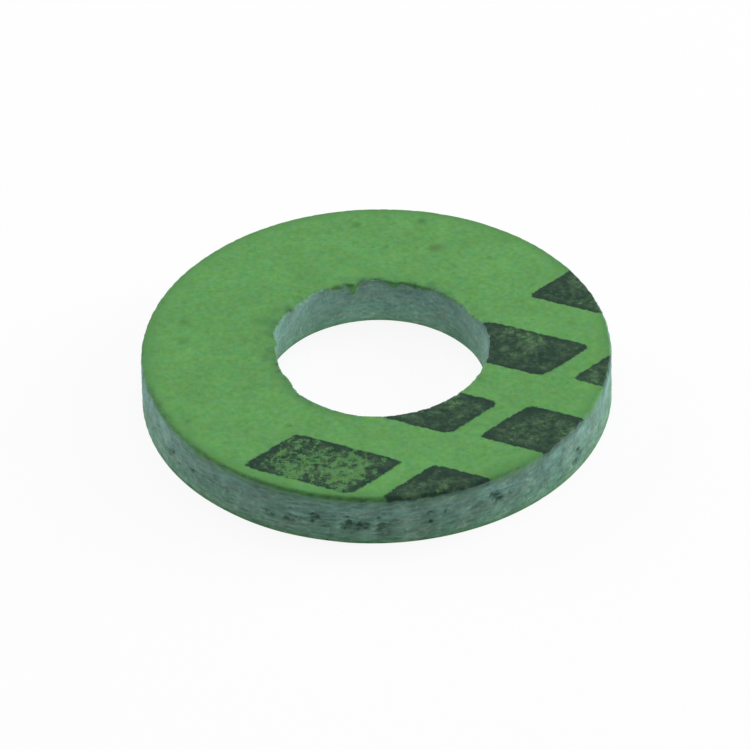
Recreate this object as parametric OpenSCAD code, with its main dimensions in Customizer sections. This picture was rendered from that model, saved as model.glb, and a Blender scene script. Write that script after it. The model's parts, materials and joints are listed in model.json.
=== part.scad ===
// Flat gasket: a ring punched in one piece from compressed fibre sheet.
// The underside lies on Z = 0, the bore runs along Z, and the upper face looks towards +Z.

/* [Ring] */
// Outside diameter of the ring
outer_d = 17; // [12:0.5:40]
// Diameter of the hole that the stem passes through
bore_d = 8; // [3:0.25:10]
// Thickness of the sheet that the ring is punched from
thickness = 2; // [0.8:0.1:4]

/* [Punched edges] */
// Radius of the edges of the upper face, which the punch rolls over as it enters
edge_roll = 0.12; // [0.04:0.01:0.3]
// Radius of the edges of the underside, which the punch leaves nearly sharp
edge_break = 0.05; // [0.02:0.01:0.1]

/* [Hidden] */
outer_r = outer_d / 2;
bore_r = bore_d / 2;
land_w = outer_r - bore_r;
$fn = 180;

// The corner of a section, less the quarter disc that rounds it.
// The corner is at the origin, and the section lies towards -X and -Y.
module corner_waste(radius) {
    translate([-radius, -radius])
        difference() {
            square(2 * radius);
            circle(radius);
        }
}

// Cross-section of the ring, in the plane of its axis: X is the radius, Y the height.
module section() {
    difference() {
        translate([bore_r, 0])
            square([land_w, thickness]);
        translate([outer_r, thickness])
            corner_waste(edge_roll);
        translate([bore_r, thickness])
            mirror([1, 0])
                corner_waste(edge_roll);
        translate([outer_r, 0])
            mirror([0, 1])
                corner_waste(edge_break);
        translate([bore_r, 0])
            rotate(180)
                corner_waste(edge_break);
    }
}

// The whole gasket: the section turned round the bore's axis.
module gasket() {
    color("#639b5a")
        rotate_extrude()
            section();
}

gasket();
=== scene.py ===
# %% [markdown]
# # A flat gasket of compressed fibre sheet
#
# The part is a plain ring that a punch cut from green compressed fibre sheet. The shape is simple, so the
# eye goes to its surfaces: a smooth, mottled skin on the faces, worn ink on top of it, and a rough
# grey-green wall where the punch tore through the sheet. This lesson builds the ring as one surface worked
# out with numpy, and then gives each of those surfaces its finish.

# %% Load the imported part
import json
import math

import bpy
import numpy as np
from mathutils import Matrix, Vector


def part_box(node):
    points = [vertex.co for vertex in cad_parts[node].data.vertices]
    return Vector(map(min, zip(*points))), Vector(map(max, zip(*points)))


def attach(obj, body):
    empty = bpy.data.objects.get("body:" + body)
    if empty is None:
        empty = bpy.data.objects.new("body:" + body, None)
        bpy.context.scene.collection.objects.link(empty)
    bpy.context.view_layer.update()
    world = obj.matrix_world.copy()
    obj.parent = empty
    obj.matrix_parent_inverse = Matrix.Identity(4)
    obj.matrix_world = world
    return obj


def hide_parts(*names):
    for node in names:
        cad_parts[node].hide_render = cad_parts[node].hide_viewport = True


MM = 0.001
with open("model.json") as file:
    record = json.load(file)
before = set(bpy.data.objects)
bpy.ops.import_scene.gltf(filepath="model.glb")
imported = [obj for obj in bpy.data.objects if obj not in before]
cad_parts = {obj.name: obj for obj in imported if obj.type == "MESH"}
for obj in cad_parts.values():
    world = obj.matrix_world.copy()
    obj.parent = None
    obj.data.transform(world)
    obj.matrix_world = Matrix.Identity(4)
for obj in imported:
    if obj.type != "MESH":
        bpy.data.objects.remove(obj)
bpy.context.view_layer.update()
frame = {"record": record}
bpy.context.scene.view_settings.view_transform = "Standard"

# %% [markdown]
# ## Sizes
#
# The outside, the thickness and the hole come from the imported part, so the ring can't drift away from it.
# Only the rounding of its edges is repeated here: the punch rolls the upper edges over as it enters, and
# leaves the lower ones nearly sharp. Sizes on the ring are in millimetres until they go into a mesh or a
# material. The floor and the lamps are in metres.

# %% Sizes of the ring
low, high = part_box("gasket")
bore_mount = next(m for m in frame["record"]["mounts"] if m["name"] == "bore")
OUTER_R = (high.x - low.x) / 2 / MM
THICKNESS = (high.z - low.z) / MM
BORE_R = bore_mount["dims"]["r_mm"]
EDGE_ROLL = 0.12
EDGE_BREAK = 0.05
print(f"ring: outside {2 * OUTER_R:.2f}, hole {2 * BORE_R:.2f}, thickness {THICKNESS:.2f} mm")

# %% [markdown]
# ## The section
#
# A ring could be a cylinder with a hole cut by a Boolean, but its walls would then be long thin faces with
# nothing on them to shape. Here the section is walked once, row by row, and each row later becomes a circle
# of points. The walls get close rows, because all of the torn relief is on them. The flat faces get few, and
# those crowd towards the edges.

# %% Walk the section of the ring
UNDERSIDE, FOOT, WALL, RIM, FACE, LIP, BORE, BORE_FOOT = range(8)
SIDES = (
    # corner's centre (radius, height), its rounding, rows on the flat before it, rows round it
    (OUTER_R - EDGE_BREAK, EDGE_BREAK, EDGE_BREAK, 6, 4),
    (OUTER_R - EDGE_ROLL, THICKNESS - EDGE_ROLL, EDGE_ROLL, 40, 8),
    (BORE_R + EDGE_ROLL, THICKNESS - EDGE_ROLL, EDGE_ROLL, 24, 8),
    (BORE_R + EDGE_BREAK, EDGE_BREAK, EDGE_BREAK, 30, 4),
)


def walk_section(sides):
    """Radius, height, facing angle and zone of each row, once round the section.

    A side faces one way, and its points go from the rounding behind it to the one ahead: in even steps up a
    wall, and by (1 - cos(pi * share)) / 2 over a face, which is closer near the edges. On a rounding, a point
    is the centre plus the radius times the cosine and sine of the facing angle, which turns by a quarter from
    each side to the next.
    """
    radius, height, facing, zone = [], [], [], []
    for k, (r, z, rounding, flat_rows, round_rows) in enumerate(sides):
        r_behind, z_behind, rounding_behind = sides[k - 1][:3]
        angle = math.pi / 2 * (k - 1)
        out = np.array([math.cos(angle), math.sin(angle)])
        start = np.array([r_behind, z_behind]) + rounding_behind * out
        end = np.array([r, z]) + rounding * out
        share = np.arange(flat_rows) / flat_rows
        if k % 2 == 0:
            share = (1 - np.cos(math.pi * share)) / 2
        flat = start + share[:, None] * (end - start)
        turn = angle + np.arange(round_rows) / round_rows * math.pi / 2
        radius += [flat[:, 0], r + rounding * np.cos(turn)]
        height += [flat[:, 1], z + rounding * np.sin(turn)]
        facing += [np.full(flat_rows, angle), turn]
        zone += [np.full(flat_rows, 2 * k), np.full(round_rows, 2 * k + 1)]
    return [np.concatenate(rows) for rows in (radius, height, facing, zone)]


row_r, row_z, row_facing, row_zone = walk_section(SIDES)
row_step = np.hypot(np.diff(row_r, append=row_r[0]), np.diff(row_z, append=row_z[0]))
row_s = np.concatenate([[0], np.cumsum(row_step)])
COLUMNS = 800
theta = 2 * math.pi * np.arange(COLUMNS) / COLUMNS
print(f"section: {len(row_r)} rows, {row_s[-1]:.2f} mm round; {2 * len(row_r) * COLUMNS} triangles")

# %% [markdown]
# ## Unevenness that closes on itself
#
# Torn fibre is uneven at every scale. A noise texture would do for colour, but here the unevenness moves
# points, so it has to meet itself where the ring closes. A sum of cosine waves does that if each one goes
# round the ring a whole number of times. Because a cosine of a sum splits into products, the whole grid is
# one matrix product, with no loop over points. What was measured on the ring, such as a lump or a dark
# stretch, is a soft hump at its angle.

# %% Noise and humps on the grid of rows and columns
WAVES = 160
LONGEST_WAVE, SHORTEST_WAVE = 0.5, 1.6  # their wave numbers, as shares of the main one


def ring_noise(size, radius, seed, squeeze=1.0):
    """Waves of random direction and phase, added up and scaled to a spread of about one.

    Each wave is cos(m * angle + n * s + phase): m is a whole number, so that the seam closes, and n counts
    along the section. Their lengths lie around size millimetres, or size / squeeze across the layers.
    """
    rng = np.random.default_rng(seed)
    heading = rng.uniform(0, 2 * math.pi, WAVES)
    wave_number = 2 * math.pi / size * rng.uniform(LONGEST_WAVE, SHORTEST_WAVE, WAVES)
    m = np.round(wave_number * np.cos(heading) * radius)
    n = wave_number * np.sin(heading) * squeeze
    around = np.outer(m, theta) + rng.uniform(0, 2 * math.pi, WAVES)[:, None]
    along = np.outer(row_s[:-1], n)
    total = np.cos(along) @ np.cos(around) - np.sin(along) @ np.sin(around)
    return total / math.sqrt(WAVES / 2)


def soft_step(value):
    """0 below 0, 1 above 1, and 3v^2 - 2v^3 between."""
    v = np.clip(value, 0, 1)
    return v * v * (3 - 2 * v)


def humps(places, radius):
    """Sum of most * exp(-(a / half)^2) round the ring, where a is the distance from a place along the ring.

    Each place gives its angle in degrees, its most, and its half width in millimetres.
    """
    at, most, half = np.array(places, dtype=float).T[:, :, None]
    apart = (theta - np.radians(at) + math.pi) % (2 * math.pi) - math.pi
    return (most * np.exp(-((apart * radius / half) ** 2))).sum(axis=0)


# %% [markdown]
# ## How far the skin reaches
#
# The punch drags the green skin of the sheet over the edge before it breaks through. At the front of the rim
# the skin follows the rolled edge right round, and elsewhere it stops near the top of the roll, with a few
# short tongues. In the hole it is more ragged, and longer tongues of it hang down the wall. The reach is
# stored on each point as a distance in millimetres, so the material can draw the line itself with a finer
# grain than the mesh has.

# %% Where each zone starts
zone_start = {zone: row_s[np.argmax(row_zone == zone)] for zone in range(UNDERSIDE, BORE_FOOT + 1)}
below_rim = zone_start[FACE] - row_s[:-1]
below_lip = row_s[:-1] - zone_start[LIP]
above_foot = row_s[:-1] - zone_start[FOOT]
above_bore_foot = row_s[-1] - row_s[:-1]
outer_rows = np.isin(row_zone, (FOOT, WALL, RIM))[:, None]
bore_rows = np.isin(row_zone, (LIP, BORE, BORE_FOOT))[:, None]
print(f"rows: {outer_rows.sum()} on the outer wall, {bore_rows.sum()} in the hole")

# %% Distance inside the skin's ragged limit
RIM_REACH, FRONT_REACH, LIP_REACH = 0.05, 0.20, 0.05
FRONT_AT, FRONT_HALF = math.radians(268), math.radians(52)
FOOT_REACH = 0.7 * EDGE_BREAK * math.pi / 2
FOOT_SHARPER = 2
RIM_FRAY, LIP_FRAY, FINE_FRAY, FOOT_FRAY = 0.020, 0.022, 0.018, 0.012
FRAY_SIZE, FINE_FRAY_SIZE, FOOT_FRAY_SIZE = 0.5, 0.2, 0.6
DEEP = 0.4
RIM_TONGUES = ((224, 0.05, 0.9), (309, 0.03, 0.5), (334, 0.08, 0.9))
LIP_TONGUES = (
    (48, 0.04, 0.4), (66, 0.19, 0.5), (79, 0.33, 0.25), (91, 0.06, 0.30),
    (102, 0.54, 0.18), (110, 0.21, 0.30), (131, -0.10, 0.7), (144, 0.05, 0.20))

front = np.exp(-(((theta - FRONT_AT) / FRONT_HALF) ** 2))
rim_fray = RIM_FRAY * ring_noise(FRAY_SIZE, OUTER_R, seed=11)
rim_reach = RIM_REACH + FRONT_REACH * front + humps(RIM_TONGUES, OUTER_R) + rim_fray
lip_fray = LIP_FRAY * ring_noise(FRAY_SIZE, BORE_R, seed=12)
fine_fray = FINE_FRAY * ring_noise(FINE_FRAY_SIZE, BORE_R, seed=13)
tongues = humps(LIP_TONGUES, BORE_R)
lip_reach = LIP_REACH + lip_fray + fine_fray + tongues
foot_reach = FOOT_REACH + FOOT_FRAY * ring_noise(FOOT_FRAY_SIZE, OUTER_R, seed=14)
at_foot = FOOT_SHARPER * (foot_reach - above_foot[:, None])
at_bore_foot = FOOT_SHARPER * (foot_reach - above_bore_foot[:, None])
outside = np.maximum(rim_reach - below_rim[:, None], at_foot)
inside = np.maximum(lip_reach - below_lip[:, None], at_bore_foot)
skin = np.where(outer_rows, outside, np.where(bore_rows, inside, DEEP))
skin = np.clip(skin, -DEEP, DEEP)
print(f"skin covers {np.mean(skin > 0):.2f} of the grid's points")

# %% [markdown]
# ## Painted shade and grime on the rolled edge
#
# Where the skin is stretched over an edge it is painted as a dark green line. Part of it is dirt, taken up
# where the skin opens a little, and part is painted shade, darker the further the edge has turned away from
# the face and its light. How far an edge has turned away from the face is one minus the sine of its facing.
# At the front of the rim the line follows that. On the left of the rim it also runs along the face, just
# inside the edge.

# %% Painted shade and grime round the rim
TURN_FROM, TURN_RISE = 0.04, 0.45
RIM_SHADE_AND_GRIME, RIM_SHADE_AND_GRIME_FRONT, RIM_SHADE_AND_GRIME_MOST = 0.04, 0.15, 0.95
RIM_SHADE_AND_GRIME_UNEVEN, SHADE_AND_GRIME_SIZE = 0.18, 0.5
RIM_BITS = (
    (196, 0.4, 0.20), (202.5, 0.4, 0.28), (209, 0.4, 0.15), (226, 0.3, 0.35),
    (240, 0.4, 0.2), (253, 0.4, 0.25), (265, 0.4, 0.3))
RIM_LINES = ((202, 0.50, 1.3), (222, 0.20, 0.8))
RIM_LINE_WIDTH = 0.20
# Painted shade on the rolled edge, with some dirt: the further the edge turns from the face, the darker.
turned = (1 - np.sin(row_facing))[:, None]
rim_uneven = RIM_SHADE_AND_GRIME_UNEVEN * ring_noise(SHADE_AND_GRIME_SIZE, OUTER_R, seed=15)
rim_share = RIM_SHADE_AND_GRIME + RIM_SHADE_AND_GRIME_FRONT * front + rim_uneven + humps(RIM_BITS, OUTER_R)
rim_shade_and_grime = soft_step((turned - TURN_FROM) / TURN_RISE) * np.clip(rim_share, 0, RIM_SHADE_AND_GRIME_MOST)
line_rows = soft_step(1 + below_rim / RIM_LINE_WIDTH) * soft_step(1 - below_rim / RIM_LINE_WIDTH)
rim_line = line_rows[:, None] * humps(RIM_LINES, OUTER_R)
rim_shade_and_grime = np.maximum(rim_shade_and_grime, rim_line)
print(f"rim: grime {rim_shade_and_grime[row_zone == RIM].mean():.2f} on average")

# %% [markdown]
# Round the hole the painted shade and dirt start on the face, a little before the edge, and end soon below
# it.
# On the near left it is a line of painted shade on the lip where it rolls away from the light, darkest in two
# short stretches. On the far side it sits in a few dark bits, and the face behind them is bruised.

# %% Painted shade and grime round the hole
LIP_SHADE_AT = math.radians(216)
NEAR_LEFT_FROM, NEAR_LEFT_RISE = 0.6, 0.25
LIP_SHADE, LIP_SHADE_AND_GRIME_UNEVEN, LIP_SHADE_AND_GRIME_MOST = 0.30, 0.08, 0.9
LIP_SHADE_AND_GRIME_WIDTH, BIT_WIDTH, BRUISE_REACH = 0.35, 0.14, 0.65
SHADE_AND_GRIME_LOWEST, SHADE_AND_GRIME_FADE = 0.45, 0.30
LIP_SHADE_STRETCHES = ((225, 0.25, 0.49), (199, 0.38, 0.55))
DARK_BITS = (
    (50, 0.35, 0.20), (57, 0.35, 0.25), (67, 0.35, 0.12), (81, 0.3, 0.14), (90, 0.6, 0.35),
    (97, 0.5, 0.22), (111, 0.3, 0.22), (124, 0.5, 0.10), (146, 0.6, 0.15))
BRUISES = (
    (54, 0.19, 0.45), (69, 0.22, 0.25), (91, 0.24, 0.50),
    (104, 0.15, 0.35), (145, 0.19, 0.40), (160, 0.36, 0.55))


def before_lip(width):
    """0 on the face further than width from the lip, rising to 1 at the lip, and 1 below it."""
    return soft_step(1 + below_lip / width)[:, None]


# Painted shade along the near left of the lip, where it rolls over and turns away from the light.
near_left = soft_step((np.cos(theta - LIP_SHADE_AT) - NEAR_LEFT_FROM) / NEAR_LEFT_RISE)
lip_uneven = LIP_SHADE_AND_GRIME_UNEVEN * ring_noise(SHADE_AND_GRIME_SIZE, BORE_R, seed=16)
lip_share = LIP_SHADE * near_left + humps(LIP_SHADE_STRETCHES, BORE_R) + lip_uneven
lip_shade_and_grime = before_lip(LIP_SHADE_AND_GRIME_WIDTH) * np.clip(lip_share, 0, LIP_SHADE_AND_GRIME_MOST)
bits = np.clip(humps(DARK_BITS, BORE_R), 0, LIP_SHADE_AND_GRIME_MOST)
lip_shade_and_grime = np.maximum(lip_shade_and_grime, before_lip(BIT_WIDTH) * bits)
lip_shade_and_grime = lip_shade_and_grime + before_lip(BRUISE_REACH) * humps(BRUISES, BORE_R)
lip_shade_and_grime = lip_shade_and_grime * soft_step((SHADE_AND_GRIME_LOWEST - below_lip) / SHADE_AND_GRIME_FADE)[:, None]
from_face_on = (row_zone >= FACE)[:, None]
edge_shade_and_grime = np.where(outer_rows, rim_shade_and_grime, np.where(from_face_on, lip_shade_and_grime + rim_line, 0))
print(f"lip: grime {edge_shade_and_grime[row_zone == LIP].mean():.2f} on average")

# %% [markdown]
# ## The torn walls
#
# Compressed sheet is built up in thin layers on a hot roll, so its cut wall shows short level streaks. About
# the middle of the outer wall the layers have come apart, and left a broken line of small dark pits. The runs
# on the near side were measured on the ring, and those behind are like them. Each pit is a soft oval hollow.
# Its shape is the product of a curve round the ring and a curve up the wall, so all the pits together are
# again one matrix product.

# %% Shape of the pits
PIT_SCATTER = 0.12
PIT_SHORTEST, PIT_LENGTHS = 0.07, 4
PIT_FLATNESS, PIT_LEAST_TALL, PIT_MOST_TALL = 0.6, 0.06, 0.14
FAINT_DEPTH, LEAST_DEPTH, MORE_DEPTH, FULL_DEPTH_LENGTH = 0.4, 0.4, 1.1, 0.08
PIT_LEFT, PIT_EATEN, PIT_EATEN_SIZE = 0.75, 0.5, 0.22


def torn_pits(radius, faint, level, spread, seed, runs=()):
    """How deep a pit lies at each point, from 0 to 1.

    Faint pits lie at random places. A run gives its angle in degrees, how many pits it has and how deep they
    are. Each pit is exp(-(a / length)^4) round the ring times exp(-(h / height)^2) up it, where a and h are
    the distances from its middle. A long pit is shallower. Noise then eats into all of them.
    """
    rng = np.random.default_rng(seed)
    number = [run[1] for run in runs]
    in_runs = np.repeat(np.radians([run[0] for run in runs]), number)
    anywhere = rng.uniform(0, 2 * math.pi, faint)
    place = np.concatenate([anywhere, in_runs + rng.normal(0, PIT_SCATTER, len(in_runs)) / radius])
    run_depth = np.repeat([float(run[2]) for run in runs], number)
    deep = np.concatenate([np.full(faint, FAINT_DEPTH), run_depth])
    count = len(place)
    middle = level + rng.normal(0, spread, count)
    length = PIT_SHORTEST * PIT_LENGTHS ** rng.uniform(0, 1, count)
    tall = np.clip(PIT_FLATNESS * length, PIT_LEAST_TALL, PIT_MOST_TALL)
    depth = deep * (LEAST_DEPTH + MORE_DEPTH * rng.uniform(0, 1, count) ** 2)
    depth = depth * np.sqrt(FULL_DEPTH_LENGTH / length)
    apart = (theta[None, :] - place[:, None] + math.pi) % (2 * math.pi) - math.pi
    round_ring = depth[:, None] * np.exp(-((apart * radius / length[:, None]) ** 4))
    up_wall = np.exp(-(((row_z[:, None] - middle) / tall) ** 2))
    eaten = np.clip(PIT_LEFT + PIT_EATEN * ring_noise(PIT_EATEN_SIZE, radius, seed + 1), 0, 1)
    return np.minimum(up_wall @ round_ring, 1) * eaten


# %% Pits along the walls
RUNS = (
    (205, 2, 0.5), (211, 3, 0.6), (220, 4, 0.6), (233, 3, 0.5), (245, 3, 0.7), (249, 5, 1.0), (254.5, 5, 1.2),
    (258, 3, 0.6), (262.5, 6, 1.4), (265.5, 6, 1.5), (270.5, 6, 1.1), (282, 4, 0.7), (285.5, 3, 0.7),
    (298.5, 6, 0.9), (302, 3, 0.5), (312, 2, 0.4), (317, 3, 0.5), (325.5, 7, 0.9), (15, 6, 0.9), (20, 3, 0.6),
    (43, 4, 0.7), (70, 6, 1.0), (74, 5, 0.8), (112, 5, 0.8), (131, 6, 1.0), (135, 4, 0.8), (160, 4, 0.7))
WALL_LEVEL, BORE_LEVEL = 0.42 * THICKNESS, 0.50 * THICKNESS
BORE_PITS = 0.4
CLEAR_OF_SKIN = 0.1
STAIN_COLUMNS, STAIN_ROWS = 4, 3
PIT_SHADE, STAIN_SHADE = 0.85, 0.5
outer_pits = torn_pits(OUTER_R, faint=120, level=WALL_LEVEL, spread=0.2, seed=21, runs=RUNS)
bore_pits = torn_pits(BORE_R, faint=50, level=BORE_LEVEL, spread=0.35, seed=24)
pit = np.where(outer_rows, outer_pits, np.where(bore_rows, BORE_PITS * bore_pits, 0))
pit = pit * soft_step(-skin / CLEAR_OF_SKIN)
stain = sum(np.roll(pit, shift, axis=1) for shift in range(-STAIN_COLUMNS, STAIN_COLUMNS + 1))
stain = sum(np.roll(stain, shift, axis=0) for shift in range(-STAIN_ROWS, STAIN_ROWS + 1))
stain = stain / ((2 * STAIN_COLUMNS + 1) * (2 * STAIN_ROWS + 1))
# The pits are painted dark: painted shade in their hollows together with dirt, and a softer dark stain round
# them.
pit_shade_and_dirt = np.clip(PIT_SHADE * pit + STAIN_SHADE * stain, 0, 1)
print(f"pits cover {np.mean(pit[row_zone == WALL] > 0.3):.3f} of the outer wall")

# %% [markdown]
# The walls are also painted paler and darker in broad stretches round the ring, kept as a factor: painted
# light and shade for the way each stretch faces the lamps. On the left the outer wall is clean right up to
# the skin, so there the distance past the skin's limit, which fades the green stain out, grows faster.

# %% Painted light and shade on the walls, and a clean stretch
WALL_PAINTED_LIGHT = ((200, 0.10, 2.2), (262, 0.08, 2.2), (316, -0.07, 3.2))
BORE_PAINTED_LIGHT = ((42, -0.11, 1.2), (98, 0.11, 1.3), (150, -0.04, 0.7))
CLEAN_STRETCHES = ((200, 2.0, 1.4),)
wall_painted_light = np.where(outer_rows, humps(WALL_PAINTED_LIGHT, OUTER_R), 0)
painted_light_factor = 1 + np.where(bore_rows, humps(BORE_PAINTED_LIGHT, BORE_R), wall_painted_light)
clean = 1 + humps(CLEAN_STRETCHES, OUTER_R)
seen_skin = np.where(outer_rows & (skin < 0), skin * clean, skin)
print(f"walls: tone from {painted_light_factor.min():.2f} to {painted_light_factor.max():.2f}")

# %% [markdown]
# ## A lip that leans
#
# Seen from above, the hole isn't quite round at the top: the punch has pulled the upper layers towards the
# middle, while the lower edge has stayed in place. So the wall leans, by a fifth of a millimetre on the far
# side and by up to half a millimetre on the left, where it has lumps. The lean fades out down the wall and
# over the face next to it. The rim is drawn in as well, all round, by less than a tenth of a millimetre.

# %% How far the lip leans into the hole
LEAN_MOST, LEAN_BEHIND, TONGUE_LEAN = 0.22, 0.19, 0.3
LEAN_MIDDLE, LEAN_FULL, LEAN_END = (math.radians(x) for x in (186, 20, 84))
BEHIND_FROM, BEHIND_RISE = 0.1, 0.5
LUMPS = ((193, 0.28, 1.1), (213, 0.13, 0.55), (176, 0.18, 0.55), (152, -0.08, 0.5), (27, 0.08, 0.5))
LEAN_ON_FACE = 0.9
LEAN_CURVE = 1.5
LEAN_UNEVEN, LEAN_UNEVEN_SIZE = 0.05, 1.1
up_wall = np.clip(row_z / THICKNESS, 0, 1)
side = (np.cos(theta - LEAN_MIDDLE) - math.cos(LEAN_END)) / (math.cos(LEAN_FULL) - math.cos(LEAN_END))
over_face = soft_step(1 + below_lip / LEAN_ON_FACE)
up_bore = np.where(bore_rows[:, 0], up_wall ** LEAN_CURVE, 0)
lean_rows = np.where(row_zone == FACE, over_face, up_bore)
behind = LEAN_BEHIND * soft_step((np.sin(theta) - BEHIND_FROM) / BEHIND_RISE)
lean_round = LEAN_MOST * soft_step(side) + behind + humps(LUMPS, BORE_R) + TONGUE_LEAN * tongues
uneven = 1 + LEAN_UNEVEN * ring_noise(LEAN_UNEVEN_SIZE, BORE_R, seed=17)
lean = lean_rows[:, None] * lean_round * uneven
print(f"lip leans by up to {lean.max():.2f} mm")

# %% How far the rim is drawn in
RIM_DRAWN = 0.07
UPPER_R = OUTER_R - RIM_DRAWN
rim_over_face = soft_step(1 + below_rim / LEAN_ON_FACE)
drawn_rows = np.where(row_zone == FACE, rim_over_face, np.where(outer_rows[:, 0], up_wall, 0))
drawn = RIM_DRAWN * drawn_rows[:, None]
print(f"upper rim: radius {UPPER_R:.2f} mm")

# %% [markdown]
# ## Raise the relief
#
# The relief moves each point along the way its row faces. The walls get layers, grain and pits, the lip of
# the hole gets shallow chips, and the faces a faint wave that only shows in the light that skims them. It is
# a few hundredths of a millimetre, and a little over a tenth in the deepest pits. All of it goes into the
# sheet, so the ring keeps its size.

# %% Height of the relief
CUT_FADE, CUT_BACK = 0.06, 0.02
LAYER_HEIGHT, LAYER_SIZE, LAYER_SQUEEZE = 0.009, 0.9, 6
GRAIN_HEIGHT, GRAIN_SIZE, GRAIN_SQUEEZE = 0.006, 0.25, 1.5
WAVE_HEIGHT, WAVE_SIZE, WAVE_R = 0.004, 2.5, 6.0
PIT_DEPTH = 0.07
CHIP_DEPTH, CHIP_SIZE, CHIP_FROM, CHIP_MOST = 0.010, 0.35, 0.3, 2
CHIP_AT, CHIP_HALF = 0.08, 0.2
cut = soft_step(-skin / CUT_FADE)
layers = LAYER_HEIGHT * ring_noise(LAYER_SIZE, OUTER_R, seed=31, squeeze=LAYER_SQUEEZE)
grain = GRAIN_HEIGHT * ring_noise(GRAIN_SIZE, OUTER_R, seed=32, squeeze=GRAIN_SQUEEZE)
faint_wave = WAVE_HEIGHT * ring_noise(WAVE_SIZE, WAVE_R, seed=33)
chip_rows = np.exp(-((below_lip - CHIP_AT) / CHIP_HALF) ** 2) * np.isin(row_zone, (FACE, LIP, BORE))
chips = np.clip(ring_noise(CHIP_SIZE, BORE_R, seed=34) - CHIP_FROM, 0, CHIP_MOST) * chip_rows[:, None]
relief = cut * (layers + grain - CUT_BACK) - PIT_DEPTH * pit + (1 - cut) * faint_wave - CHIP_DEPTH * chips
relief = np.where((row_zone == UNDERSIDE)[:, None], 0, np.minimum(relief, 0.0))
print(f"relief: from {relief.min():.3f} to {relief.max():.3f} mm")

# %% Move the points along their facing
ring_r = row_r[:, None] + relief * np.cos(row_facing)[:, None] - lean - drawn
ring_z = row_z[:, None] + relief * np.sin(row_facing)[:, None]
points = np.stack([ring_r * np.cos(theta), ring_r * np.sin(theta), ring_z], axis=-1)
print(f"points: radius from {ring_r.min():.2f} to {ring_r.max():.2f} mm")

# %% [markdown]
# ## The mesh
#
# Rows and columns make four-sided faces, and both directions wrap round, so the surface is closed. The
# order of the four corners makes every face look outwards. The skin's reach, the painted shade and grime, the
# painted shade and dirt of the pits, and the painted light and shade of the walls go along as attributes on
# the points, and the material reads them by name.

# %% Make the ring
def closed_grid(name, grid, attributes):
    """A mesh whose faces join each point to the next column and the next row, with both wrapped round."""
    rows, columns = grid.shape[:2]
    index = np.arange(rows * columns).reshape(rows, columns)
    beside = np.roll(index, -1, axis=1)
    faces = np.stack([index, beside, np.roll(beside, -1, axis=0), np.roll(index, -1, axis=0)], axis=-1)
    mesh = bpy.data.meshes.new(name)
    mesh.vertices.add(rows * columns)
    mesh.vertices.foreach_set("co", (grid * MM).astype(np.float32).ravel())
    mesh.loops.add(faces.size)
    mesh.loops.foreach_set("vertex_index", faces.astype(np.int32).ravel())
    mesh.polygons.add(rows * columns)
    mesh.polygons.foreach_set("loop_start", np.arange(0, faces.size, 4, dtype=np.int32))
    mesh.update(calc_edges=True)
    mesh.shade_smooth()
    for label, values in attributes.items():
        layer = mesh.attributes.new(label, "FLOAT", "POINT")
        layer.data.foreach_set("value", values.astype(np.float32).ravel())
    mesh.validate()
    return mesh


# Stored here: painted shade and grime on the rolled edges, painted shade and dirt in the pits, and painted
# light and shade on the walls.
stored = {"skin": seen_skin, "edge_shade_and_grime": edge_shade_and_grime, "pit": pit_shade_and_dirt, "tone": painted_light_factor}
ring_mesh = closed_grid("fibre_gasket", points, stored)
gasket = bpy.data.objects.new("fibre_gasket", ring_mesh)
bpy.context.scene.collection.objects.link(gasket)
print(f"mesh: {len(ring_mesh.vertices)} points, {len(ring_mesh.polygons)} faces")

# %% [markdown]
# ## A flat map of the ring
#
# A part that leaves Blender carries its finish as pictures, and those need a flat map. Blender could lay
# one out by itself, but on torn relief it cuts the walls into scraps. The rows already know where they are,
# so the map is worked out: each face of the ring as a flat ring, the outer wall as two long strips, and the
# wall of the hole as one.

# %% Lay the ring out flat
GAP = 0.1
MAP_SIDE = math.pi * OUTER_R + 2 * GAP
WALL_STRETCH = 1.35
UNDER_SHRINK = 0.97


def lay_flat(centre, scale, ring_radius, angle):
    """A point of a flat ring: the centre plus the scaled radius times the cosine and sine of the angle."""
    map_x = centre[0] + scale * ring_radius * np.cos(angle)
    map_y = centre[1] + scale * ring_radius * np.sin(angle)
    return np.stack([map_x, map_y], -1)


def lay_strip(start, ring_radius, angle, stretched):
    """A point of a strip: the radius times the angle along it, and the stretched height above its start."""
    return np.stack(np.broadcast_arrays(GAP + ring_radius * angle, start + stretched), -1)


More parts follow.
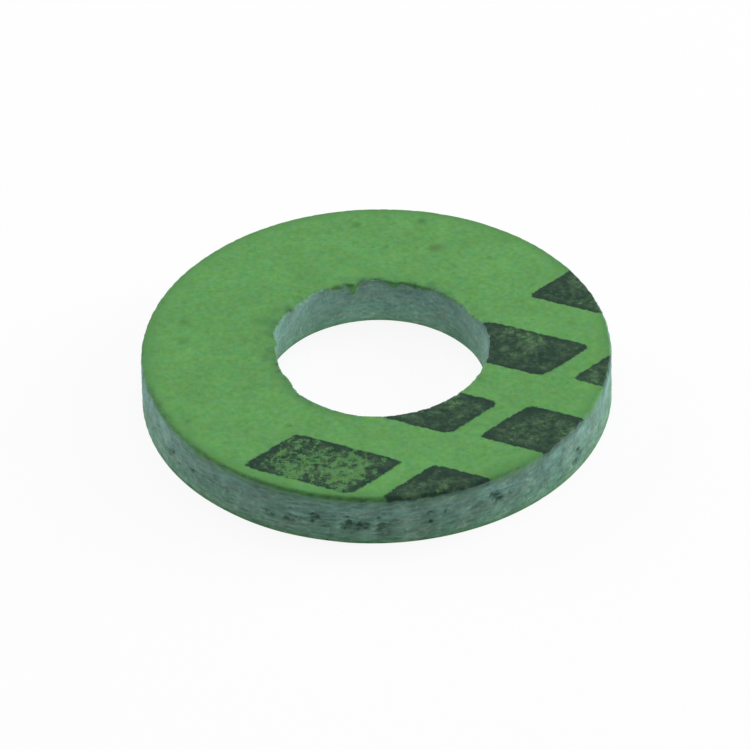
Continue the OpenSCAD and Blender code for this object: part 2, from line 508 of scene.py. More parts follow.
def flat_map():
    """Place of each face's four corners on the map, from 0 to 1."""
    corner_s = np.stack([row_s[:-1], row_s[:-1], row_s[1:], row_s[1:]], -1)[:, None, :]
    turn = np.arange(COLUMNS)[:, None] + np.array([0, 1, 1, 0])
    angle = (turn * 2 * math.pi / COLUMNS)[None]
    zone = row_zone[:, None, None, None]
    big = OUTER_R + EDGE_ROLL + GAP
    face_r = OUTER_R - EDGE_ROLL - (corner_s - zone_start[FACE])
    face = lay_flat((big, big), 1.0, face_r, angle)
    small = (MAP_SIDE - 2 * big) / 2
    round_s = np.where(corner_s > row_s[-1] / 2, corner_s - row_s[-1], corner_s)
    under_scale = UNDER_SHRINK * small / big
    under = lay_flat((2 * big + small, big), under_scale, BORE_R + EDGE_BREAK + round_s, -angle)
    strip = WALL_STRETCH * (THICKNESS + GAP)
    half = (np.arange(COLUMNS) >= COLUMNS // 2)[None, :, None]
    up_outer = WALL_STRETCH * (corner_s - zone_start[WALL])
    up_hole = WALL_STRETCH * (corner_s - zone_start[BORE])
    wall = lay_strip(2 * big + strip * half, OUTER_R, angle - math.pi * half, up_outer)
    bore = lay_strip(2 * big + 2 * strip, BORE_R, angle, up_hole)
    on_face = np.isin(zone, (RIM, FACE, LIP))
    on_under = np.isin(zone, (BORE_FOOT, UNDERSIDE, FOOT))
    place = np.where(on_face, face, np.where(on_under, under, np.where(zone == WALL, wall, bore)))
    return place / MAP_SIDE


uv = flat_map()
uv_layer = ring_mesh.uv_layers.new(name="OFBake")
uv_layer.uv.foreach_set("vector", uv.astype(np.float32).ravel())
print(f"map: from {uv.min():.3f} to {uv.max():.3f}")

# %% [markdown]
# ## Colours and nodes
#
# Colours are written as they look on a screen. Shaders work with linear light, so one function undoes the
# screen's curve. One more function adds a node, sets it and links it, and every material here is made
# with it. A node that is given as a value stands for its first output in use.

# %% Helpers for materials
VALUE, FROM_LOW, FROM_HIGH, TO_LOW, TO_HIGH = range(5)
FACTOR, MIX_A, MIX_B = 0, 6, 7
NUMBER_A, NUMBER_B = 2, 3


def linear(hex_colour):
    """Each channel over 255, then the sRGB curve undone.

    That is v / 12.92 near black, and ((v + 0.055) / 1.055)^2.4 above.
    """
    v = np.array([int(hex_colour[i:i + 2], 16) for i in (1, 3, 5)]) / 255
    rgb = np.where(v <= 0.04045, v / 12.92, ((v + 0.055) / 1.055) ** 2.4)
    return (*rgb, 1.0)


def per_size(size):
    """Scale that makes a texture's patches that many millimetres wide: Object coordinates are in metres."""
    return 1 / (size * MM)


def add(tree, kind, sockets=None, **settings):
    """Adds a node, sets its properties, and fills its sockets with values or with links to nodes."""
    node = tree.nodes.new("ShaderNode" + kind)
    for name, value in settings.items():
        setattr(node, name, value)
    for name, value in (sockets or {}).items():
        if isinstance(value, bpy.types.Node):
            value = next(output for output in value.outputs if output.enabled)
        if isinstance(value, bpy.types.NodeSocket):
            tree.links.new(value, node.inputs[name])
        else:
            node.inputs[name].default_value = value
    return node


def new_material(name):
    """An empty material with nodes, and its tree."""
    material = bpy.data.materials.new(name)
    material.use_nodes = True
    material.node_tree.nodes.clear()
    return material, material.node_tree


# %% [markdown]
# ## The green skin
#
# Compressed fibre sheet is aramid fibre and filler bound with rubber. Hot rolls press it and leave a closed
# skin, matt with a slight sheen, whose green drifts between a yellower and a bluer tone in patches about 0.4
# millimetres across, where fibre bundles lie just under it. A single colour would look like plastic, so
# the tone comes from several sizes of noise, with a few dark specks of filler and a thin pale dust on top.

# %% Green of the skin
GREEN_BLUER, GREEN_YELLOWER = "#559653", "#5d964a"
PATCH_SIZE, CLOUD_SIZE, FINE_SIZE = 0.42, 1.2, 0.16
fibre, tree = new_material("compressed_fibre_calendered_and_punched")
place = add(tree, "TexCoord").outputs["Object"]
patches = add(tree, "TexNoise", {
    "Vector": place, "Scale": per_size(PATCH_SIZE), "Detail": 3.0, "Roughness": 0.6})
patch_share = add(tree, "MapRange", {VALUE: patches, FROM_LOW: 0.34, FROM_HIGH: 0.66})
green = add(tree, "Mix", {
    FACTOR: patch_share, MIX_A: linear(GREEN_BLUER), MIX_B: linear(GREEN_YELLOWER)}, data_type="RGBA")
clouds = add(tree, "TexNoise", {"Vector": place, "Scale": per_size(CLOUD_SIZE), "Detail": 3.0})
fine = add(tree, "TexNoise", {
    "Vector": place, "Scale": per_size(FINE_SIZE), "Detail": 3.0, "Roughness": 0.6})
cloud_tone = add(tree, "MapRange", {
    VALUE: clouds, FROM_LOW: 0.25, FROM_HIGH: 0.75, TO_LOW: 0.90, TO_HIGH: 1.10})
fine_tone = add(tree, "MapRange", {
    VALUE: fine, FROM_LOW: 0.25, FROM_HIGH: 0.75, TO_LOW: 0.80, TO_HIGH: 1.20})
tone = add(tree, "Math", {0: cloud_tone, 1: fine_tone}, operation="MULTIPLY")
toned = add(tree, "VectorMath", {0: green, "Scale": tone}, operation="SCALE")
print(f"skin: green in patches of {PATCH_SIZE} mm")

# %% Specks and dust on the skin
SPECK_DARK, DUST_PALE = "#35643a", "#8aa886"
SPECK_GAP, SPECK_DRIFT, DUST_SIZE = 0.9, 1.3, 0.24
SPECK_MOST, DUST_MOST = 0.4, 0.22
speck_cells = add(tree, "TexVoronoi", {"Vector": place, "Scale": per_size(SPECK_GAP)})
speck_size = add(tree, "TexNoise", {"Vector": place, "Scale": per_size(SPECK_DRIFT), "Detail": 0.0})
speck_limit = add(tree, "MapRange", {VALUE: speck_size, FROM_LOW: 0.32, FROM_HIGH: 0.72, TO_HIGH: 0.14})
speck_depth = add(tree, "Math", {0: speck_limit, 1: speck_cells}, operation="SUBTRACT")
speck = add(tree, "MapRange", {VALUE: speck_depth, FROM_LOW: -0.06, FROM_HIGH: 0.06, TO_HIGH: SPECK_MOST})
dust_noise = add(tree, "TexNoise", {
    "Vector": place, "Scale": per_size(DUST_SIZE), "Detail": 4.0, "Roughness": 0.65})
dust = add(tree, "MapRange", {VALUE: dust_noise, FROM_LOW: 0.40, FROM_HIGH: 0.75, TO_HIGH: DUST_MOST})
dusty = toned
for share, shade in ((speck, SPECK_DARK), (dust, DUST_PALE)):
    dusty = add(tree, "Mix", {FACTOR: share, MIX_A: dusty, MIX_B: linear(shade)}, data_type="RGBA")
print(f"skin: specks about {SPECK_GAP} mm apart, dust in grains of {DUST_SIZE} mm")

# %% [markdown]
# ## Marks, bruises and the dark edge
#
# A few marks on the far and left side of the face, and along its left rim, were measured on the ring: small
# dark spots, and one with a brown tinge. Each is a soft disc. Close to the hole the skin is bruised in darker
# patches: a band half a millimetre wide, broken up by noise. Towards the rim it darkens too. The painted
# shade and grime on the rolled edges then go over all of it, as much as each point has stored.

# %% Marks on the face
MARK_GREEN, MARK_BROWN, MARK_PALE_BROWN = "#346a34", "#45682c", "#5d7547"
MARK_CORE = 0.2
MARKS = (
    # place on the face, radius, colour, and how much of it at the middle
    ((1.82, 7.50), 0.28, MARK_GREEN, 0.6),
    ((-0.62, 7.34), 0.24, MARK_GREEN, 0.5),
    ((-6.94, 1.54), 0.32, MARK_GREEN, 0.4),
    ((-6.90, 0.42), 0.32, MARK_GREEN, 0.35),
    ((2.28, 5.78), 0.34, MARK_BROWN, 0.6),
    ((2.50, 5.88), 0.26, MARK_PALE_BROWN, 0.5),
    ((-4.16, 1.55), 0.45, MARK_GREEN, 0.30),
    ((-7.99, -2.21), 0.22, MARK_GREEN, 0.35),
    ((-7.69, -3.11), 0.24, MARK_GREEN, 0.40),
    ((-7.36, -3.82), 0.24, MARK_GREEN, 0.35),
)
marked = dusty
for (mark_x, mark_y), mark_radius, mark_colour, mark_most in MARKS:
    mark_middle = (mark_x * MM, mark_y * MM, THICKNESS * MM)
    off_mark = add(tree, "VectorMath", {0: place, 1: mark_middle}, operation="DISTANCE")
    mark_share = add(tree, "MapRange", {
        VALUE: off_mark, FROM_LOW: MARK_CORE * mark_radius * MM, FROM_HIGH: mark_radius * MM,
        TO_LOW: mark_most, TO_HIGH: 0.0})
    marked = add(tree, "Mix", {
        FACTOR: mark_share, MIX_A: marked, MIX_B: linear(mark_colour)}, data_type="RGBA")
print(f"face: {len(MARKS)} marks")

# %% Bruises round the hole, shade towards the rim, and painted shade and grime
BRUISE_GREEN, RIM_GREEN, SHADE_AND_GRIME_GREEN = "#3c6b42", "#386b3a", "#35583b"
BRUISE_WIDTH, BRUISE_SIZE, BRUISE_MOST = 0.55, 0.55, 0.45
RIM_SHADE, RIM_SHADE_END, RIM_SHADE_CURVE = 0.8, 0.08, 2.2
flat_place = add(tree, "VectorMath", {0: place, 1: (1, 1, 0)}, operation="MULTIPLY")
off_axis = add(tree, "VectorMath", {0: flat_place}, operation="LENGTH")
near_hole = add(tree, "MapRange", {
    VALUE: off_axis, FROM_LOW: BORE_R * MM, FROM_HIGH: (BORE_R + BRUISE_WIDTH) * MM,
    TO_LOW: 1.0, TO_HIGH: 0.0})
bruise_noise = add(tree, "TexNoise", {"Vector": place, "Scale": per_size(BRUISE_SIZE), "Detail": 2.0})
bruise_patch = add(tree, "MapRange", {
    VALUE: bruise_noise, FROM_LOW: 0.50, FROM_HIGH: 0.66, TO_HIGH: BRUISE_MOST})
bruise = add(tree, "Math", {0: near_hole, 1: bruise_patch}, operation="MULTIPLY")
rim_ramp = add(tree, "MapRange", {
    VALUE: off_axis, FROM_LOW: (UPPER_R - RIM_SHADE) * MM, FROM_HIGH: (UPPER_R - RIM_SHADE_END) * MM})
near_rim = add(tree, "Math", {0: rim_ramp, 1: RIM_SHADE_CURVE}, operation="POWER")
rim_patch = add(tree, "MapRange", {
    VALUE: fine, FROM_LOW: 0.30, FROM_HIGH: 0.70, TO_LOW: 0.10, TO_HIGH: 0.65})
rim_shade = add(tree, "Math", {0: near_rim, 1: rim_patch}, operation="MULTIPLY")
# Painted shade and grime on the rolled edges, as much as each point has stored.
held_shade_and_grime = add(tree, "Attribute", attribute_name="edge_shade_and_grime").outputs["Fac"]
shade_and_grime_break = add(tree, "MapRange", {
    VALUE: fine, FROM_LOW: 0.35, FROM_HIGH: 0.65, TO_LOW: 0.4, TO_HIGH: 1.5})
shade_and_grime_share = add(tree, "Math", {0: held_shade_and_grime, 1: shade_and_grime_break}, operation="MULTIPLY", use_clamp=True)
skin_colour = marked
for share, shade in ((bruise, BRUISE_GREEN), (rim_shade, RIM_GREEN), (shade_and_grime_share, SHADE_AND_GRIME_GREEN)):
    skin_colour = add(tree, "Mix", {
        FACTOR: share, MIX_A: skin_colour, MIX_B: linear(shade)}, data_type="RGBA")
print(f"face: bruises within {BRUISE_WIDTH} mm of the hole, shade within {RIM_SHADE} mm of the rim")

# %% [markdown]
# ## Worn ink
#
# The sheet is printed before the rings are punched from it, so the print runs off the edge of the ring
# and into its hole. Here it is two staggered rows of slanted dashes, worked out from the place on the face:
# the room left to the edge of the nearest dash, in millimetres, is the smaller of the room left along the row
# and the room left across it. The ink has rubbed off in specks, and on one side of the ring it has worn half
# away. It held on best along the edge of each dash.

# %% Slanted dashes in ink
ROW_TURN = math.radians(42)
ROW_PLACE = (1.2, 3.6, 0)
ROW_GAP = 4.5
DASH_PITCH, DASH_WIDTH, DASH_LENGTH = 4.6, 2.5, 3.7
DASH_SLANT, DASH_ROUNDING = 0.45, 0.5
RAGGED_SIZE, RAGGED_BY = 0.25, 0.22
on_row = add(tree, "Mapping", {
    "Vector": place, "Location": ROW_PLACE, "Rotation": (0, 0, -ROW_TURN), "Scale": (1 / MM,) * 3})
row_split = add(tree, "SeparateXYZ", {0: on_row})
rooms = []
for row in range(2):
    off_middle_line = add(tree, "Math", {0: row_split.outputs["Y"], 1: row * ROW_GAP}, operation="ADD")
    leant = add(tree, "Math", {
        0: off_middle_line, 1: DASH_SLANT, 2: row_split.outputs["X"]}, operation="MULTIPLY_ADD")
    staggered = add(tree, "Math", {0: leant, 1: row * DASH_PITCH / 2}, operation="ADD")
    off_dash = add(tree, "Math", {0: staggered, 1: DASH_PITCH / 2}, operation="PINGPONG")
    room_along = add(tree, "Math", {0: DASH_WIDTH / 2, 1: off_dash}, operation="SUBTRACT")
    off_row = add(tree, "Math", {0: off_middle_line}, operation="ABSOLUTE")
    room_across = add(tree, "Math", {0: DASH_LENGTH / 2, 1: off_row}, operation="SUBTRACT")
    rooms.append(add(tree, "Math", {
        0: room_along, 1: room_across, 2: DASH_ROUNDING}, operation="SMOOTH_MIN"))
room = add(tree, "Math", {0: rooms[0], 1: rooms[1]}, operation="MAXIMUM")
ragged = add(tree, "TexNoise", {
    "Vector": place, "Scale": per_size(RAGGED_SIZE), "Detail": 3.0, "Roughness": 0.6})
ragged_room = add(tree, "Math", {0: ragged, 1: RAGGED_BY, 2: room}, operation="MULTIPLY_ADD")
dash = add(tree, "MapRange", {VALUE: ragged_room, FROM_LOW: 0.08, FROM_HIGH: 0.14})
print(f"ink: dashes {DASH_WIDTH} by {DASH_LENGTH} mm, {DASH_PITCH} mm apart")

# %% Wear of the ink
WORN_PLACE = (-1.8, -6.6, THICKNESS)
WORN_REACH, WORN_CORE = 3.4, 0.4
RUBBED_SIZE, INK_SPECK_SIZE = 1.6, 0.19
worn_middle = [x * MM for x in WORN_PLACE]
off_worn = add(tree, "VectorMath", {0: place, 1: worn_middle}, operation="DISTANCE")
worn_limit = add(tree, "MapRange", {
    VALUE: off_worn, FROM_LOW: WORN_CORE * WORN_REACH * MM, FROM_HIGH: WORN_REACH * MM,
    TO_LOW: 0.50, TO_HIGH: 0.34})
rubbed = add(tree, "TexNoise", {"Vector": place, "Scale": per_size(RUBBED_SIZE), "Detail": 1.0})
rubbed_more = add(tree, "MapRange", {
    VALUE: rubbed, FROM_LOW: 0.40, FROM_HIGH: 0.70, TO_LOW: -0.02, TO_HIGH: 0.12})
rubbed_limit = add(tree, "Math", {0: worn_limit, 1: rubbed_more}, operation="ADD")
held_edge = add(tree, "MapRange", {VALUE: room, FROM_LOW: 0.05, FROM_HIGH: 0.3, TO_LOW: 0.08, TO_HIGH: 0.0})
bare_limit = add(tree, "Math", {0: rubbed_limit, 1: held_edge}, operation="SUBTRACT")
ink_specks = add(tree, "TexNoise", {
    "Vector": place, "Scale": per_size(INK_SPECK_SIZE), "Detail": 3.0, "Roughness": 0.6})
ink_left = add(tree, "Math", {0: ink_specks, 1: bare_limit}, operation="SUBTRACT")
ink_holds = add(tree, "MapRange", {VALUE: ink_left, FROM_LOW: -0.09, FROM_HIGH: 0.05, TO_LOW: 0.35})
place_split = add(tree, "SeparateXYZ", {0: place})
on_upper_face = add(tree, "MapRange", {
    VALUE: place_split.outputs["Z"],
    FROM_LOW: (THICKNESS - 3 * EDGE_ROLL) * MM, FROM_HIGH: (THICKNESS - 2 * EDGE_ROLL) * MM})
ink_there = add(tree, "Math", {0: dash, 1: on_upper_face}, operation="MULTIPLY")
ink = add(tree, "Math", {0: ink_there, 1: ink_holds}, operation="MULTIPLY")
print(f"ink: worn within {WORN_REACH} mm of {WORN_PLACE[:2]}")

# %% Colour of the ink
INK_DARK, INK_PALE = "#082a1c", "#5f7f5c"
INK_MOTTLE_SIZE, INK_THINNER, INK_CURVE = 0.34, 0.35, 2.0
ink_mottle = add(tree, "TexNoise", {
    "Vector": place, "Scale": per_size(INK_MOTTLE_SIZE), "Detail": 4.0, "Roughness": 0.7})
ink_thin = add(tree, "Math", {0: rubbed, 1: INK_THINNER, 2: ink_mottle}, operation="MULTIPLY_ADD")
ink_tone = add(tree, "MapRange", {VALUE: ink_thin, FROM_LOW: 0.47, FROM_HIGH: 0.93})
ink_skewed = add(tree, "Math", {0: ink_tone, 1: INK_CURVE}, operation="POWER")
ink_inward = add(tree, "MapRange", {VALUE: room, FROM_LOW: 0.05, FROM_HIGH: 0.40, TO_LOW: 0.2})
ink_paler = add(tree, "Math", {0: ink_skewed, 1: ink_inward}, operation="MULTIPLY")
ink_colour = add(tree, "Mix", {
    FACTOR: ink_paler, MIX_A: linear(INK_DARK), MIX_B: linear(INK_PALE)}, data_type="RGBA")
face_colour = add(tree, "Mix", {FACTOR: ink, MIX_A: skin_colour, MIX_B: ink_colour}, data_type="RGBA")
print(f"ink: mottled in patches of {INK_MOTTLE_SIZE} mm")

# %% [markdown]
# ## The punched wall
#
# Inside, the sheet is a grey blue-green mat with no skin. It is the same stuff all the way through, so its
# pattern is a solid one: noise squeezed along the height, which gives level streaks on every wall that
# cuts it. The top of the wall, sheared clean by the punch, is bluer, and the foot, where it tore, is greener.
# Patches of a warmer grey and pale flecks of filler go over both. The wall of the hole is a little greyer and
# calmer, because nothing has rubbed against it. It is also painted paler, as painted light that makes up for
# the shade the hole casts on its own wall.

# %% Colours of the cut wall
WALL_FOOT, WALL_TOP, WALL_WARM = "#648e78", "#70958d", "#7d9080"
WALL_FLECK, HOLE_GREY = "#9abbaa", "#949fa6"
LAYER_FLATNESS = 5
STREAK_SIZE, MAT_GRAIN_SIZE, WARM_SIZE, FLECK_SIZE = 0.55, 0.16, 1.1, 0.2
WARM_MOST, FLECK_MOST, HOLE_GREYER = 0.60, 0.45, 0.035
TORN_BELOW, SHEARED_ABOVE, UNEVEN_BY = 0.5, 2.1, 0.9
squeezed = add(tree, "Mapping", {"Vector": place, "Scale": (1, 1, LAYER_FLATNESS)})
streaks = add(tree, "TexNoise", {
    "Vector": squeezed, "Scale": per_size(STREAK_SIZE), "Detail": 4.0, "Roughness": 0.6})
mat_grain = add(tree, "TexNoise", {
    "Vector": place, "Scale": per_size(MAT_GRAIN_SIZE), "Detail": 3.0, "Roughness": 0.65})
uneven_height = add(tree, "Math", {
    0: streaks, 1: UNEVEN_BY * MM, 2: place_split.outputs["Z"]}, operation="MULTIPLY_ADD")
height_share = add(tree, "MapRange", {
    VALUE: uneven_height, FROM_LOW: TORN_BELOW * MM, FROM_HIGH: SHEARED_ABOVE * MM})
wall_mat = add(tree, "Mix", {
    FACTOR: height_share, MIX_A: linear(WALL_FOOT), MIX_B: linear(WALL_TOP)}, data_type="RGBA")
warm_noise = add(tree, "TexNoise", {"Vector": squeezed, "Scale": per_size(WARM_SIZE), "Detail": 3.0})
warm_share = add(tree, "MapRange", {VALUE: warm_noise, FROM_LOW: 0.48, FROM_HIGH: 0.68, TO_HIGH: WARM_MOST})
flecks = add(tree, "TexNoise", {"Vector": place, "Scale": per_size(FLECK_SIZE), "Detail": 2.0})
fleck_share = add(tree, "MapRange", {VALUE: flecks, FROM_LOW: 0.60, FROM_HIGH: 0.74, TO_HIGH: FLECK_MOST})
hole_share = add(tree, "MapRange", {
    VALUE: off_axis, FROM_LOW: BORE_R * MM, FROM_HIGH: OUTER_R * MM, TO_LOW: 1.0, TO_HIGH: 0.0})
hole_grey = add(tree, "Math", {0: hole_share, 1: HOLE_GREYER}, operation="MULTIPLY")
for share, shade in ((warm_share, WALL_WARM), (fleck_share, WALL_FLECK), (hole_grey, HOLE_GREY)):
    wall_mat = add(tree, "Mix", {FACTOR: share, MIX_A: wall_mat, MIX_B: linear(shade)}, data_type="RGBA")
print(f"wall: streaks {STREAK_SIZE} mm long and a {LAYER_FLATNESS}th as high")

# %% [markdown]
# Streaks, grain and blotches then make the wall lighter and darker. The factor that each point has stored
# paints light and shade on it. The pits are painted dark, with painted shade in their hollows together with
# dirt, and their relief shades them as well.

# %% Tone of the cut wall
# The pits' dark colour is painted shade in their hollows, together with dirt.
PIT_SHADE_AND_DIRT = "#305045"
BLOTCH_SIZE = 0.6
HOLE_PAINTED_LIGHT, HOLE_CALMER = 1.16, 0.65
PIT_MOST = 0.8
blotches = add(tree, "TexNoise", {"Vector": place, "Scale": per_size(BLOTCH_SIZE), "Detail": 2.0})
wall_tone = 1.0
for pattern, darker, lighter in ((streaks, 0.82, 1.18), (mat_grain, 0.84, 1.16), (blotches, 0.78, 1.22)):
    pattern_tone = add(tree, "MapRange", {
        VALUE: pattern, FROM_LOW: 0.3, FROM_HIGH: 0.7, TO_LOW: darker, TO_HIGH: lighter})
    wall_tone = add(tree, "Math", {0: wall_tone, 1: pattern_tone}, operation="MULTIPLY")
hole_calm = add(tree, "MapRange", {VALUE: hole_share, TO_LOW: 1.0, TO_HIGH: HOLE_CALMER})
wall_tone = add(tree, "Mix", {FACTOR: hole_calm, NUMBER_A: 1.0, NUMBER_B: wall_tone}, data_type="FLOAT")
# Painted light: the wall of the hole is painted paler, to make up for the shade inside the hole.
hole_painted_light = add(tree, "MapRange", {VALUE: hole_share, TO_LOW: 1.0, TO_HIGH: HOLE_PAINTED_LIGHT})
# Painted light and shade on the walls, as stored on each point.
stored_painted_light = add(tree, "Attribute", attribute_name="tone").outputs["Fac"]
for factor in (hole_painted_light, stored_painted_light):
    wall_tone = add(tree, "Math", {0: wall_tone, 1: factor}, operation="MULTIPLY")
wall_toned = add(tree, "VectorMath", {0: wall_mat, "Scale": wall_tone}, operation="SCALE")
stored_pit_shade_and_dirt = add(tree, "Attribute", attribute_name="pit").outputs["Fac"]
pit_breaks = add(tree, "MapRange", {
    VALUE: mat_grain, FROM_LOW: 0.36, FROM_HIGH: 0.64, TO_LOW: 0.3, TO_HIGH: 1.5})
pit_broken = add(tree, "Math", {0: stored_pit_shade_and_dirt, 1: pit_breaks}, operation="MULTIPLY")
pit_shade_and_dirt_share = add(tree, "MapRange", {VALUE: pit_broken, FROM_LOW: 0.10, FROM_HIGH: 0.75, TO_HIGH: PIT_MOST})
wall_colour = add(tree, "Mix", {
    FACTOR: pit_shade_and_dirt_share, MIX_A: wall_toned, MIX_B: linear(PIT_SHADE_AND_DIRT)}, data_type="RGBA")
print(f"wall: {HOLE_PAINTED_LIGHT} times as pale in the hole")

# %% [markdown]
# ## Skin over wall
#
# The stored reach says how far inside the skin's limit a point is. A little fine noise on top of it frays the
# line. Past the line the wall keeps a green stain, weaker in the hole, which fades within half a millimetre.
# One mix then lays the skin and its ink over the cut wall. The skin is smoother than the wall, and its share
# also sets the roughness and the small bumps.

# %% Put the finishes together
STAIN_FADE, STAIN_OUTSIDE, STAIN_IN_HOLE = 0.4, 0.6, 0.32
FRAY_BY = 0.06
WALL_ROUGH, SKIN_SMOOTHEST, SKIN_ROUGHEST = 0.92, 0.62, 0.78
SKIN_BUMPS, BUMP_STRENGTH, BUMP_HEIGHT = 0.35, 0.6, 0.02
RUBBER_IOR, SHEEN_LEVEL = 1.5, 0.2
stored_reach = add(tree, "Attribute", attribute_name="skin").outputs["Fac"]
frayed = add(tree, "Math", {0: mat_grain, 1: FRAY_BY, 2: stored_reach}, operation="MULTIPLY_ADD")
is_skin = add(tree, "MapRange", {VALUE: frayed, FROM_LOW: 0.01, FROM_HIGH: 0.06})
stain_most = add(tree, "MapRange", {VALUE: hole_share, TO_LOW: STAIN_OUTSIDE, TO_HIGH: STAIN_IN_HOLE})
stained = add(tree, "MapRange", {
    VALUE: frayed, FROM_LOW: -STAIN_FADE, FROM_HIGH: 0.03, TO_HIGH: stain_most})
cover = add(tree, "Math", {0: is_skin, 1: stained}, operation="MAXIMUM")
colour = add(tree, "Mix", {FACTOR: cover, MIX_A: wall_colour, MIX_B: face_colour}, data_type="RGBA")
skin_rough = add(tree, "MapRange", {
    VALUE: fine, FROM_LOW: 0.3, FROM_HIGH: 0.7, TO_LOW: SKIN_SMOOTHEST, TO_HIGH: SKIN_ROUGHEST})
rough = add(tree, "Mix", {FACTOR: is_skin, NUMBER_A: WALL_ROUGH, NUMBER_B: skin_rough}, data_type="FLOAT")
wall_bumps = add(tree, "Math", {0: streaks, 1: mat_grain}, operation="ADD")
skin_bumps = add(tree, "Math", {0: fine, 1: SKIN_BUMPS}, operation="MULTIPLY")
bumps = add(tree, "Mix", {FACTOR: is_skin, NUMBER_A: wall_bumps, NUMBER_B: skin_bumps}, data_type="FLOAT")
bump = add(tree, "Bump", {"Strength": BUMP_STRENGTH, "Distance": BUMP_HEIGHT * MM, "Height": bumps})
shader = add(tree, "BsdfPrincipled", {
    "Base Color": colour, "Roughness": rough, "Normal": bump,
    "IOR": RUBBER_IOR, "Specular IOR Level": SHEEN_LEVEL})
add(tree, "OutputMaterial", {"Surface": shader})
gasket.data.materials.append(fibre)
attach(gasket, "root")
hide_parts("gasket")
print(f"material: {len(tree.nodes)} nodes")

# %% [markdown]
# ## Floor and world
#
# The ring lies on a light table, a white sheet that glows evenly, so the walls are lit from below as well.
# Near the ring the table is nine tenths glow and one tenth lit paper, and that tenth keeps the ring's soft
# shadow. Far from it the glow takes over, so no line shows where the table ends. The world is plain white to
# the camera, and dimmer as a light.

# %% Light table
FLOOR_HALF = 1.5
FLOOR_DROP = 0.005 * MM
PAPER_WHITE = 0.95
GLOW_SHARE = 0.9
LIT_NEAR, LIT_FAR = 0.05, 0.30
floor_mesh = bpy.data.meshes.new("floor")
quarters = ((-1, -1), (1, -1), (1, 1), (-1, 1))
corners = [(x * FLOOR_HALF, y * FLOOR_HALF, -FLOOR_DROP) for x, y in quarters]
floor_mesh.from_pydata(corners, [], [(0, 1, 2, 3)])
floor = bpy.data.objects.new("floor", floor_mesh)
bpy.context.scene.collection.objects.link(floor)
paper, tree = new_material("light_table_white_sheet")
lit = add(tree, "BsdfDiffuse", {"Color": (PAPER_WHITE, PAPER_WHITE, PAPER_WHITE, 1)})
glow = add(tree, "Emission")
floor_place = add(tree, "TexCoord").outputs["Object"]
off_centre = add(tree, "VectorMath", {0: floor_place}, operation="LENGTH")
glow_share = add(tree, "MapRange", {
    VALUE: off_centre, FROM_LOW: LIT_NEAR, FROM_HIGH: LIT_FAR, TO_LOW: GLOW_SHARE})
table = add(tree, "MixShader", {0: glow_share, 1: lit, 2: glow})
add(tree, "OutputMaterial", {"Surface": table})
floor_mesh.materials.append(paper)
print(f"floor: {2 * FLOOR_HALF} m wide, all glow from {LIT_FAR} m out")

# %% Soft surroundings
AROUND = 0.05
world = bpy.data.worlds.new("studio")
bpy.context.scene.world = world
world.use_nodes = True
tree = world.node_tree
tree.nodes.clear()
path = add(tree, "LightPath").outputs
seen = add(tree, "Math", {0: path["Is Camera Ray"], 1: path["Is Glossy Ray"]}, operation="MAXIMUM")
seen = add(tree, "Math", {0: seen, 1: path["Is Transmission Ray"]}, operation="MAXIMUM")
strength = add(tree, "MapRange", {VALUE: seen, TO_LOW: AROUND})
sky = add(tree, "Background", {"Color": (1, 1, 1, 1), "Strength": strength})
add(tree, "OutputWorld", {"Surface": sky})
print(f"world: white to the eye, {AROUND} as a light")

# %% [markdown]
# ## Lamps
#
# The light is soft and comes from the two sides, more from the right, and from above. The walls that face the
# camera then stay darker than the ends, as on the real ring. Each lamp's power is worked out from how bright
# it makes a surface that faces it: a level of 1 shows a colour as it is written.

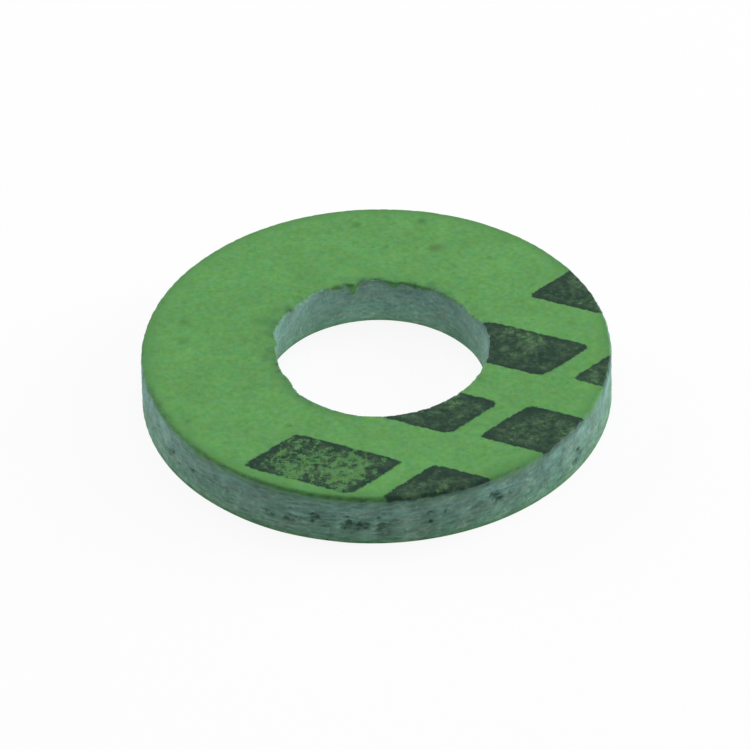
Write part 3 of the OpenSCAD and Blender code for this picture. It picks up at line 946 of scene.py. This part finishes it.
# %% Soft lamps
LAMP_FAR = 0.30
LAMPS = {
    # direction round the ring and height, in degrees, then level and size in metres
    "right_softbox": (17, 21, 1.13, 0.24),
    "left_softbox": (145, 18, 0.64, 0.24),
    "top_softbox": (90, 80, 0.52, 0.30),
}
for name, (around, raised, level, size) in LAMPS.items():
    a, e = math.radians(around), math.radians(raised)
    towards = Vector((math.cos(a) * math.cos(e), math.sin(a) * math.cos(e), math.sin(e)))
    lamp = bpy.data.lights.new(name, "AREA")
    lamp.size = size
    lamp.energy = level * math.pi ** 2 * LAMP_FAR ** 2
    holder = bpy.data.objects.new(name, lamp)
    holder.location = towards * LAMP_FAR
    holder.rotation_mode = "QUATERNION"
    holder.rotation_quaternion = towards.to_track_quat("Z", "Y")
    bpy.context.scene.collection.objects.link(holder)
    print(f"{name}: {lamp.energy:.2f} W")

# %% [markdown]
# ## Camera
#
# The camera's place was found by fitting the ring's outlines to the photograph: how high it stands, how far
# away, its focal length, its slight tilt, and the pixel where the centre of the ring's underside falls. The
# camera turns a little so that the centre lands on that pixel, with no lens shift.

# %% Camera at the photograph's view
PICTURE_SIDE = 750
FOCAL_PIXELS = 3033
CENTRE_PIXEL = (376.91, 387.80)
CAMERA_RAISED = math.radians(38.78)
CAMERA_FAR = 110
CAMERA_TILT = math.radians(-1.34)
SENSOR = 36
NEAREST, FURTHEST = 0.005, 20

back = Vector((0, -math.cos(CAMERA_RAISED), math.sin(CAMERA_RAISED)))
camera_up = Vector((0, math.sin(CAMERA_RAISED), math.cos(CAMERA_RAISED)))
across = CENTRE_PIXEL[0] - PICTURE_SIDE / 2
down = CENTRE_PIXEL[1] - PICTURE_SIDE / 2
level_across = math.cos(CAMERA_TILT) * across + math.sin(CAMERA_TILT) * down
level_down = math.cos(CAMERA_TILT) * down - math.sin(CAMERA_TILT) * across
pixel = CAMERA_FAR / FOCAL_PIXELS
aim = Vector((1, 0, 0)) * (-level_across * pixel) + camera_up * (level_down * pixel)
lens = bpy.data.cameras.new("camera")
lens.sensor_width = SENSOR
lens.lens = FOCAL_PIXELS / PICTURE_SIDE * SENSOR
lens.clip_start = NEAREST
lens.clip_end = FURTHEST
camera = bpy.data.objects.new("camera", lens)
camera.location = back * CAMERA_FAR * MM
camera.rotation_mode = "QUATERNION"
looking = (back * CAMERA_FAR - aim).to_track_quat("Z", "Y")
camera.rotation_quaternion = looking @ Matrix.Rotation(CAMERA_TILT, 3, "Z").to_quaternion()
bpy.context.scene.collection.objects.link(camera)
bpy.context.scene.camera = camera
print(f"camera: lens {lens.lens:.1f} mm, {CAMERA_FAR} mm away")
